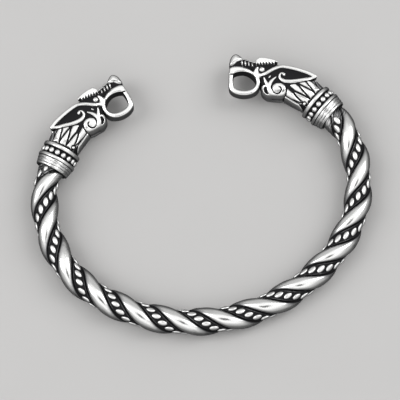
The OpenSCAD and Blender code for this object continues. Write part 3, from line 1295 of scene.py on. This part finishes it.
    def _leaves(self, at: Spots) -> Array:
        """Height of the two rows of leaves round the neck, the broad inner leaf and the small bead.

        Args:
            at: The places.

        Returns:
            The height at each place.
        """
        along, across = self._neck(at)
        polar = np.arctan2(across, at.z)
        pitch = 2 * math.pi / self.scales
        from_low = np.abs(np.mod(polar + pitch / 2, pitch) - pitch / 2) * self.neck_rim
        from_high = np.abs(np.mod(polar, pitch) - pitch / 2) * self.neck_rim
        inner = np.abs(polar + math.pi / 2) * self.neck_rim
        taper = self.leaf_width * np.clip((self.leaf_end - along) / self.leaf_length, 0.0, 1.0) ** 0.75
        low = mound(taper - from_low, 0.4, 0.2)
        high = mound(np.minimum(0.62 - taper, 0.58) - from_high, 0.38, 0.2)
        half_broad = self.broad_leaf * np.clip(along / self.broad_leaf_point, 0.0, 1.0) ** 0.6
        broad = mound(half_broad - inner, 0.38, 0.35)
        leaves = np.maximum(np.maximum(low, high) * eased(inner, 2.15, 2.4), broad)
        leaves = leaves * (1 - eased(at.y, 3.7, 3.95)) * (1 - eased(along, 5.6, 6.0))
        leaves = leaves * eased(at.outside(self.spiral), 0.12, 0.34)
        bead_along, bead_polar, bead = self.leaf_bead
        away = np.hypot(along - bead_along, (polar - math.radians(bead_polar)) * self.neck_rim)
        return np.maximum(leaves * eased(away, bead + 0.14, bead + 0.26), mound(bead - away, 0.55, bead))

    def _relief(self, at: Spots) -> Array:
        """Height of all ornament over the ground.

        Args:
            at: The places.

        Returns:
            The height at each place.
        """
        disc = mound(-at.outside(rounded(self.spiral)), 0.44, 0.4) - self.spiral_cut.rise(at)
        ball_x, ball_y, ball = self.lobe_ball
        rise = np.maximum(disc, mound(ball - np.hypot(at.x - ball_x, at.y - ball_y), 0.45, ball))
        for band in self.bands:
            rise = np.maximum(rise, band.rise(at))
        rise = np.maximum(rise, 0.0) * np.where(at.x < 9.0, eased(at.size, 0.5, 1.0), 1.0)
        return np.maximum(rise, self._leaves(at))

    def _ground(self, at: Spots) -> Array:
        """Field of the plain head, before its ornament.

        Args:
            at: The places.

        Returns:
            The field, less than 0 inside.
        """
        along, across = self._neck(at)
        half = np.interp(at.x, *zip(*self.widths))
        power = np.interp(along, *zip(*self.squareness))
        valley = eased(along, 2.4, 4.0) * (1 - eased(at.x, 6.0, 8.5)) * eased(across, 1.0, 2.0)
        valley = self.valley_depth * valley * (1 - eased(at.size, 0.2, 1.5))
        depth = -at.outside(self.ground) - valley
        swell = (at.size / half) ** power + np.clip(1 - depth / half, 0.0, None) ** power
        skull = (swell ** (1 / power) - 1) * half
        inner, outer = self.ear_faces
        ear = smooth_most(at.outside(self.ear_plate), np.maximum(at.size - outer, inner - at.size), 0.3)
        return smooth_least(skull, ear, 0.2)

    def _shade(self, at: Spots, rise: Array, grey_shade: Array) -> Array:
        """How dark the plain head and its ornament are: the black ground, with painted shade under the
        ear's tip and on the side walls.

        Args:
            at: The places.
            rise: The ornament's height.
            grey_shade: The painted shade on the head's side walls.

        Returns:
            The darkness at each place.
        """
        along, across = self._neck(at)
        edge = at.outside(self.ground)
        dark = 1 - eased(rise, 0.07, 0.2)
        cut = eased(self.spiral_cut.rise(at), 0.1, 0.3) * eased(at.size, 0.9, 1.3)
        dark = np.maximum(dark, cut * (at.outside(self.spiral) < 0))
        crown = eased(edge, -0.3, -0.12) * (at.x > 10.2) * (at.y > 10.8)
        jaw = eased(edge, -0.35, -0.1) * (along > 5.5) * (at.y < 4.6)
        jaw = jaw * (0.45 + 0.55 * eased(at.size, 1.7, 2.3))
        dark = np.maximum(dark * (1 - 0.9 * np.maximum(crown, jaw)), grey_shade)
        # Painted shadow on the neck's outer side, under the ear's tip.
        under_ear_shadow = eased(across, 1.9, 2.9) * (1 - eased(along, 4.0, 5.0)) * (1 - eased(at.y, 3.75, 3.95))
        return dark + 0.55 * under_ear_shadow

    @staticmethod
    def _slab(
        at: Spots, outline: Sequence[Point2], faces: Sequence[Union[Array, float]], edges: Point2
    ) -> Array:
        """Field of a plate on each side of the head.

        Args:
            at: The places.
            outline: The plate's outline in side view.
            faces: Distances of its inner and outer face from the middle plane.
            edges: Widths of the rounding at those faces.

        Returns:
            The field, less than 0 inside.
        """
        plate = smooth_most(at.outside(outline), at.size - faces[1], edges[1])
        return smooth_most(plate, faces[0] - at.size, edges[0])

    def _mouth(self, at: Spots, hole: Array) -> tuple[Array, Array]:
        """The bar that runs round the mouth.

        Args:
            at: The places.
            hole: Distance to the mouth's hole.

        Returns:
            The bar's field and its painted shade.
        """
        loop = np.maximum(at.outside(rounded(self.mouth_loop)), -hole)
        face = self.jaw_half + 0.1 + 0.7 * (1 - eased(at.x, 10.6, 13.2))
        # Painted shade: black on the hole's inner walls, grey on the bar's side walls below its faces.
        hole_wall_shade = eased(face - 0.13 - at.size, 0.0, 0.2) * eased(0.16 - hole, 0.0, 0.1)
        bar_side_shade = 0.6 * eased(face - 0.25 - at.size, 0.0, 0.4)
        return smooth_most(loop, at.size - face, 0.45), np.maximum(hole_wall_shade, bar_side_shade)

    def shape(self, x: Array, y: Array, z: Array) -> tuple[Array, Array]:
        """The whole head.

        Args:
            x: Places along the head.
            y: Places up the head.
            z: Places across the head.

        Returns:
            The field, less than 0 inside, and how dark the head is at each place: its black ground together
            with painted shade.
        """
        at = Spots(x, y, z)
        rise = self._relief(at)
        # Painted shade that darkens the head's side walls towards its middle plane; the brow, nose, bar and
        # hook take it too.
        grey_shade = SIDE_SHADE * (1 - eased(at.size, 0.3, 2.1))
        head = self._ground(at) - rise, self._shade(at, rise, grey_shade)

        brow = self._slab(at, self.brow, self.brow_faces, (0.3, 0.18))
        head = join(*head, brow, grey_shade, 0.05)
        nose = smooth_most(at.outside(rounded(self.nose)), at.size - self.nose_face, 1.1)
        form, dark = join(*head, nose, 0.12 + grey_shade, 0.1)

        hole = at.outside(rounded(self.mouth_hole))
        bar, bar_shade = self._mouth(at, hole)
        head = join(np.maximum(form, -hole), dark, bar, np.maximum(bar_shade, grey_shade), 0.06)

        hook_faces = self.hook_faces[0], self.hook_faces[1] - 0.25 * eased(at.x, 10.4, 11.5)
        hook = self._slab(at, rounded(self.hook), hook_faces, (0.3, 0.3))
        form, dark = join(*head, hook, grey_shade, 0.3)
        cut = self.tooth_cut.rise(at) * eased(at.size, 0.9, 1.3)
        dark = np.maximum(dark, eased(cut, 0.1, 0.3))

        eye_x, eye_y, eye = self.eye
        flat = self.eye_flatness * (at.size - self.eye_face) ** 2
        ball = np.sqrt((x - eye_x) ** 2 + (y - eye_y) ** 2 + flat) - eye
        form, dark = join(form + cut, dark, ball, 0.0, 0.04)
        return np.maximum(form, self.face_gap - self._neck(at)[0]), np.clip(dark, 0.0, 1.0)

    def _slope(self, points: Array) -> tuple[Array, Array]:
        """Field and outward direction at points of the surface.

        Args:
            points: The points.

        Returns:
            The field, as a distance, and the outward directions.
        """
        value, _ = self.shape(*points.T)
        slope = np.zeros_like(points)
        for axis in range(3):
            step = self.slope_reach * np.eye(3)[axis]
            ahead, behind = self.shape(*(points + step).T)[0], self.shape(*(points - step).T)[0]
            slope[:, axis] = (ahead - behind) / (2 * self.slope_reach)
        length = np.maximum(np.linalg.norm(slope, axis=1), 0.3)
        return value / length, slope / length[:, None]

    def carve(self) -> Carving:
        """Carves the head.

        Returns:
            The carving, in the head's own side view.
        """
        step = self.grid
        x = np.arange(self.net_start[0], self.net_end[0], step)
        y = np.arange(self.net_start[1], self.net_end[1], step)
        z = np.arange(step / 2, self.net_end[2], step)
        half, _ = self.shape(x[:, None, None], y[None, :, None], z[None, None, :])
        values = np.concatenate([half[:, :, ::-1], half], axis=2)
        points, quads = lay_net(values, np.array([x[0], y[0], -z[-1]]), step)
        for _ in range(2):
            value, slope = self._slope(points)
            points = points - slope * np.clip(value, -self.pull_limit, self.pull_limit)[:, None]
        _, dark = self.shape(*points.T)
        log.info("head form: %d points", len(points))
        return Carving(points, quads, dark)


@dataclass
class BeastHead:
    """One head, set on its collar."""

    path: RingPath
    side: Side
    carving: Carving
    lift: float = 0.15
    lean: float = 0.05
    stretch: float = 0.02

    def build(self) -> bpy.types.Object:
        """Sets the carving on the ring.

        Returns:
            The head.
        """
        placed = self.path.at_rest(self.path.head_to_ring(self._leaned(), self.side))
        name = f"{self.side.value}_beast_head"
        return make_piece(name, placed, self.carving.quads.tolist(), self.carving.dark)

    def _leaned(self) -> Array:
        """The carving's points, with the right head's crown leaned a little forward and up.

        Returns:
            The points, in the head's own side view.
        """
        points = self.carving.points.copy()
        if self.side is Side.RIGHT:
            x, y = points[:, 0], points[:, 1]
            clear = eased(x + y, 4.0, 9.0)
            forward = self.lean * np.clip(y - 3.4, 0.0, 7.0) + self.stretch * np.clip(x - 7, 0, 10)
            points[:, 0] += clear * forward
            points[:, 1] += clear * self.lift
        return points

    def dress(self, piece: bpy.types.Object, material: bpy.types.Material) -> None:
        """Gives the head its finish and its place on the ring."""
        dress(piece, material, [f"{self.side.value}_head"])


# The studio


@dataclass(frozen=True)
class Softbox:
    """A flat lamp that points at the ring, with its sizes in metres and its power in watts."""

    name: str
    place: Point3
    size: Point2 = (0.5, 0.7)
    power: float = 3.0

    def hang(self) -> None:
        """Adds the lamp to the scene."""
        data = bpy.data.lights.new(self.name, "AREA")
        data.shape = "RECTANGLE"
        data.size, data.size_y = self.size
        data.energy = self.power
        lamp = add_object(self.name, data)
        lamp.location = self.place
        lamp.rotation_euler = (-Vector(self.place)).to_track_quat("-Z", "Y").to_euler()
        log.info("%s: %.1f W", self.name, self.power)


@dataclass(frozen=True)
class Studio:
    """Camera, floor and light. The tent's angles are in degrees from the camera's side."""

    camera_place: Point3 = (-0.012645, -0.116076, 0.438660)
    camera_right: Point3 = (0.98147, -0.19016, -0.02361)
    camera_back: Point3 = (-0.02643, -0.25641, 0.96621)
    lens: float = 184.275
    sensor_width: float = 36.0
    clip: Point2 = (0.01, 20.0)
    floor_half: float = 1.5
    floor_colour: Colour = (0.5, 0.495, 0.49)
    floor_shade: float = 0.97
    floor_roughness: float = 0.75
    opening: Point2 = (14.0, 9.0)
    opening_depth: float = 0.98
    high_cone: Point2 = (60.0, 30.0)
    horizon: Point2 = (-0.4, 0.36)
    low_light: float = 0.13
    rising_light: float = 0.46
    high_light: float = 0.58
    softboxes: tuple[Softbox, ...] = (
        Softbox("left_softbox", (-0.7, 0.1, 0.75)),
        Softbox("right_softbox", (0.7, 0.15, 0.75)),
    )

    def camera(self) -> None:
        """Sets up the camera at the photograph's angle."""
        data = bpy.data.cameras.new("camera")
        data.sensor_fit = "HORIZONTAL"
        data.sensor_width = self.sensor_width
        data.lens = self.lens
        data.clip_start, data.clip_end = self.clip
        back = Vector(self.camera_back).normalized()
        right = Vector(self.camera_right)
        right = (right - back * right.dot(back)).normalized()
        turn = Matrix((right, back.cross(right), back)).transposed().to_4x4()
        camera = add_object("camera", data)
        camera.matrix_world = Matrix.Translation(self.camera_place) @ turn
        bpy.context.scene.camera = camera
        log.info("camera: lens %.1f mm", self.lens)

    def floor(self) -> None:
        """Lays a plain pale floor, which the metal doesn't mirror."""
        h = self.floor_half
        mesh = bpy.data.meshes.new("floor")
        mesh.from_pydata([(-h, -h, 0), (h, -h, 0), (h, h, 0), (-h, h, 0)], [], [(0, 1, 2, 3)])
        floor = add_object("floor", mesh)
        material = bpy.data.materials.new("floor_paper")
        material.use_nodes = True
        bench = NodeBench(material.node_tree)
        darker = tuple(c * self.floor_shade for c in self.floor_colour)
        colour = bench.mix(bench.noise(scale=60.0, detail=3.0), self.floor_colour, darker)
        surface = {"Base Color": colour, "Roughness": self.floor_roughness}
        paper = bench.node("ShaderNodeBsdfPrincipled", {}, surface)
        bench.node("ShaderNodeOutputMaterial", {}, {"Surface": paper})
        mesh.materials.append(material)
        floor.visible_glossy = False
        log.info("floor: %.1f m square", 2 * h)

    def world(self) -> None:
        """Surrounds the ring with a white tent that has a dark opening where the camera looks in."""
        world = bpy.data.worlds.new("tent")
        bpy.context.scene.world = world
        bpy.context.scene.view_settings.view_transform = "Standard"
        world.use_nodes = True
        bench = NodeBench(world.node_tree)
        way = bench.node("ShaderNodeTexCoord", {}, {}, "Generated")
        view = {0: way, 1: tuple(Vector(self.camera_back).normalized())}
        facing = bench.node("ShaderNodeVectorMath", {"operation": "DOT_PRODUCT"}, view, "Value")
        opening = facing.step(*self._cosines(self.opening))
        high = facing.step(*self._cosines(self.high_cone))
        rise = bench.node("ShaderNodeSeparateXYZ", {}, {0: way}, "Z").step(*self.horizon)
        strength = self.low_light + rise * self.rising_light + high * self.high_light
        strength = strength * (1.0 - opening * self.opening_depth)
        glow = {"Color": (1.0, 1.0, 1.0, 1.0), "Strength": strength}
        light = bench.node("ShaderNodeBackground", {}, glow)
        bench.node("ShaderNodeOutputWorld", {}, {"Surface": light})

    @staticmethod
    def _cosines(angles: Point2) -> Point2:
        """Cosines of two angles in degrees, the wider one first."""
        return math.cos(math.radians(angles[0])), math.cos(math.radians(angles[1]))

    def build(self) -> None:
        """Sets up the whole studio."""
        self.camera()
        self.floor()
        self.world()
        for softbox in self.softboxes:
            softbox.hang()


@dataclass
class ArmRing:
    """The whole ring."""

    path: RingPath = field(default_factory=RingPath)
    smooth_finish: AgedSteel = AgedSteel("smooth_strand_steel", stain=0.16, steel_roughness=0.19)
    beaded_finish: AgedSteel = AgedSteel("beaded_strand_steel", stain=0.3)
    collar_finish: AgedSteel = AgedSteel("collar_steel", stain=0.3, steel_roughness=0.26)
    bead_finish: AgedSteel = AgedSteel("bead_steel", stain=0.2, steel_roughness=0.34)
    head_finish: AgedSteel = AgedSteel("head_steel", stain=0.2, steel_roughness=0.2)

    def build(self) -> None:
        """Builds and dresses every piece."""
        tree = BeadTree()
        smooth = self.smooth_finish.material()
        beaded = self.beaded_finish.material()
        collar_steel = self.collar_finish.material()
        bead_steel = self.bead_finish.material()
        head_steel = self.head_finish.material()
        for number in (1, 2):
            plain = SmoothCoil(self.path, Strand.SMOOTH, number)
            plain.dress(plain.build(), smooth)
            dark = BeadedCoil(self.path, Strand.BEADED, number)
            dark.dress(dark.build(), beaded)
            row = BeadRow(dark, tree)
            row.dress(row.build(bead_steel), bead_steel)
        carving = HeadForm(self.path).carve()
        for side in Side:
            collar = Collar(self.path, side, tree)
            collar.dress(collar.build(), collar.build_beads(bead_steel), collar_steel, bead_steel)
            head = BeastHead(self.path, side, carving)
            head.dress(head.build(), head_steel)


def main() -> None:
    """Builds the ring and its studio."""
    ArmRing().build()
    Studio().build()


if __name__ == "__main__":
    main()
